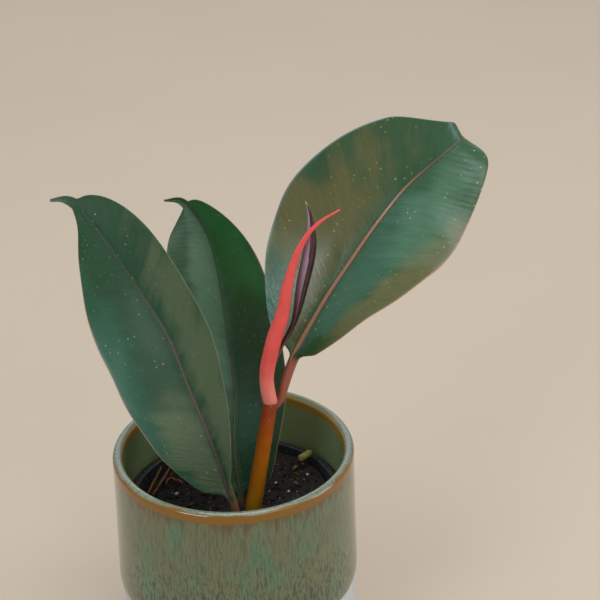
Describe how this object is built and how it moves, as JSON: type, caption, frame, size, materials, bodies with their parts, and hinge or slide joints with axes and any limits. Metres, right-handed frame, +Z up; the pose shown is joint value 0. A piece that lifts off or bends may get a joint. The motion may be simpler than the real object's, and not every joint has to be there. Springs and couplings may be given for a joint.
{
  "type": "potted rubber plant",
  "caption": "Young rubber plant with broad upright leaves and a red sheath round a rolled new leaf, in a nursery pot inside a round glazed cover pot.",
  "frame": {"origin": "centre of the flat face under the cover pot, which the plant stands on", "axes": "+Z up, along the pot's axis and the part's longest extent; +Y from the front of the plant towards its back, the shortest extent; +X to the right, towards the largest leaf, as seen from the front"},
  "size_m": [0.2102, 0.1243, 0.276],
  "materials": {
    "glazed_stoneware": "glossy mottled sage, teal and brown glaze over a pale matt body at the foot",
    "nursery_plastic": "black moulded plastic",
    "potting_soil": "dark peaty potting soil, dull",
    "perlite": "white foamed mineral grains, matt",
    "bark": "tan bark and fibre scraps, dull",
    "stem_bark": "smooth young bark, ochre at the foot and rust brown at the top",
    "rubber_leaf": "thick waxy dark green leaf, glossy",
    "red_sheath_skin": "thin coral red bud sheath, satin and slightly translucent",
    "new_leaf": "tightly rolled young leaf, dark maroon and glossy",
    "dried_fibre": "dried papery plant fibre, orange brown",
    "fallen_bud_skin": "fallen bud scale, yellow green to brown, satin"
  },
  "bodies": {
    "root": {"cover_pot": "glazed_stoneware", "nursery_pot": "nursery_plastic", "soil": "potting_soil", "stem": "stem_bark", "leaf_front": "rubber_leaf", "leaf_back": "rubber_leaf", "leaf_right": "rubber_leaf", "red_sheath": "red_sheath_skin", "rolled_leaf": "new_leaf", "dried_strand_1": "dried_fibre", "dried_strand_2": "dried_fibre", "root_curl": "dried_fibre", "fallen_bud": "fallen_bud_skin", "perlite_1": "perlite", "perlite_2": "perlite", "perlite_3": "perlite", "perlite_4": "perlite", "perlite_5": "perlite", "perlite_6": "perlite", "perlite_7": "perlite", "perlite_8": "perlite", "perlite_9": "perlite", "bark_chip_1": "bark", "bark_chip_2": "bark", "bark_chip_3": "bark", "bark_chip_4": "bark", "bark_chip_5": "bark", "bark_chip_6": "bark"}
  },
  "joints": []
}
